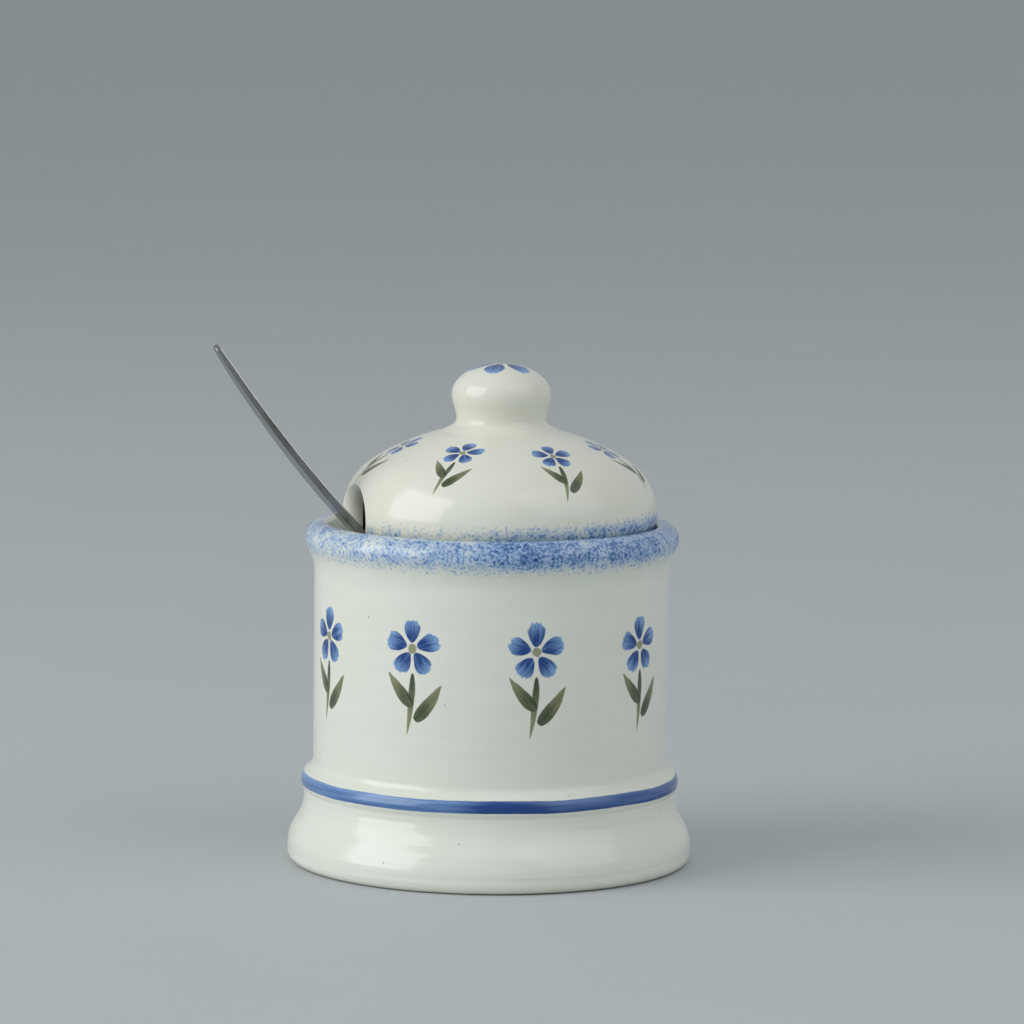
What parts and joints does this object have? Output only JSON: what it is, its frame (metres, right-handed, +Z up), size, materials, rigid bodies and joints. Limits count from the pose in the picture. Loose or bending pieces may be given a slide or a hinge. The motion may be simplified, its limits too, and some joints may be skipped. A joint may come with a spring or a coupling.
{
  "type": "jam pot",
  "caption": "Round glazed jam pot on a flared foot, with a domed lid, a ball knob and a steel spoon that leans out through a notch in the lid's edge.",
  "frame": {"origin": "middle of the foot's rest face", "axes": "+Z up along the pot's axis, -X towards the lid's notch and the spoon's handle"},
  "size_m": [0.1208, 0.1, 0.129],
  "materials": {
    "pot_glaze": "gloss cream glaze, sponged blue rim, blue line on the bead",
    "lid_glaze": "gloss cream glaze, sponged blue edge",
    "spoon_steel": "satin polish"
  },
  "bodies": {
    "pot": {"pot": "pot_glaze"},
    "lid": {"lid": "lid_glaze"},
    "spoon": {"spoon": "spoon_steel"}
  },
  "joints": [
    {"name": "lid_lift", "type": "slide", "parent": "pot", "child": "lid", "axis": [0, 0, 1], "range_m": [0, 0.1]},
    {"name": "spoon_draw", "type": "slide", "parent": "pot", "child": "spoon", "axis": [-0.6905, 0, 0.7233], "range_m": [0, 0.045]}
  ]
}
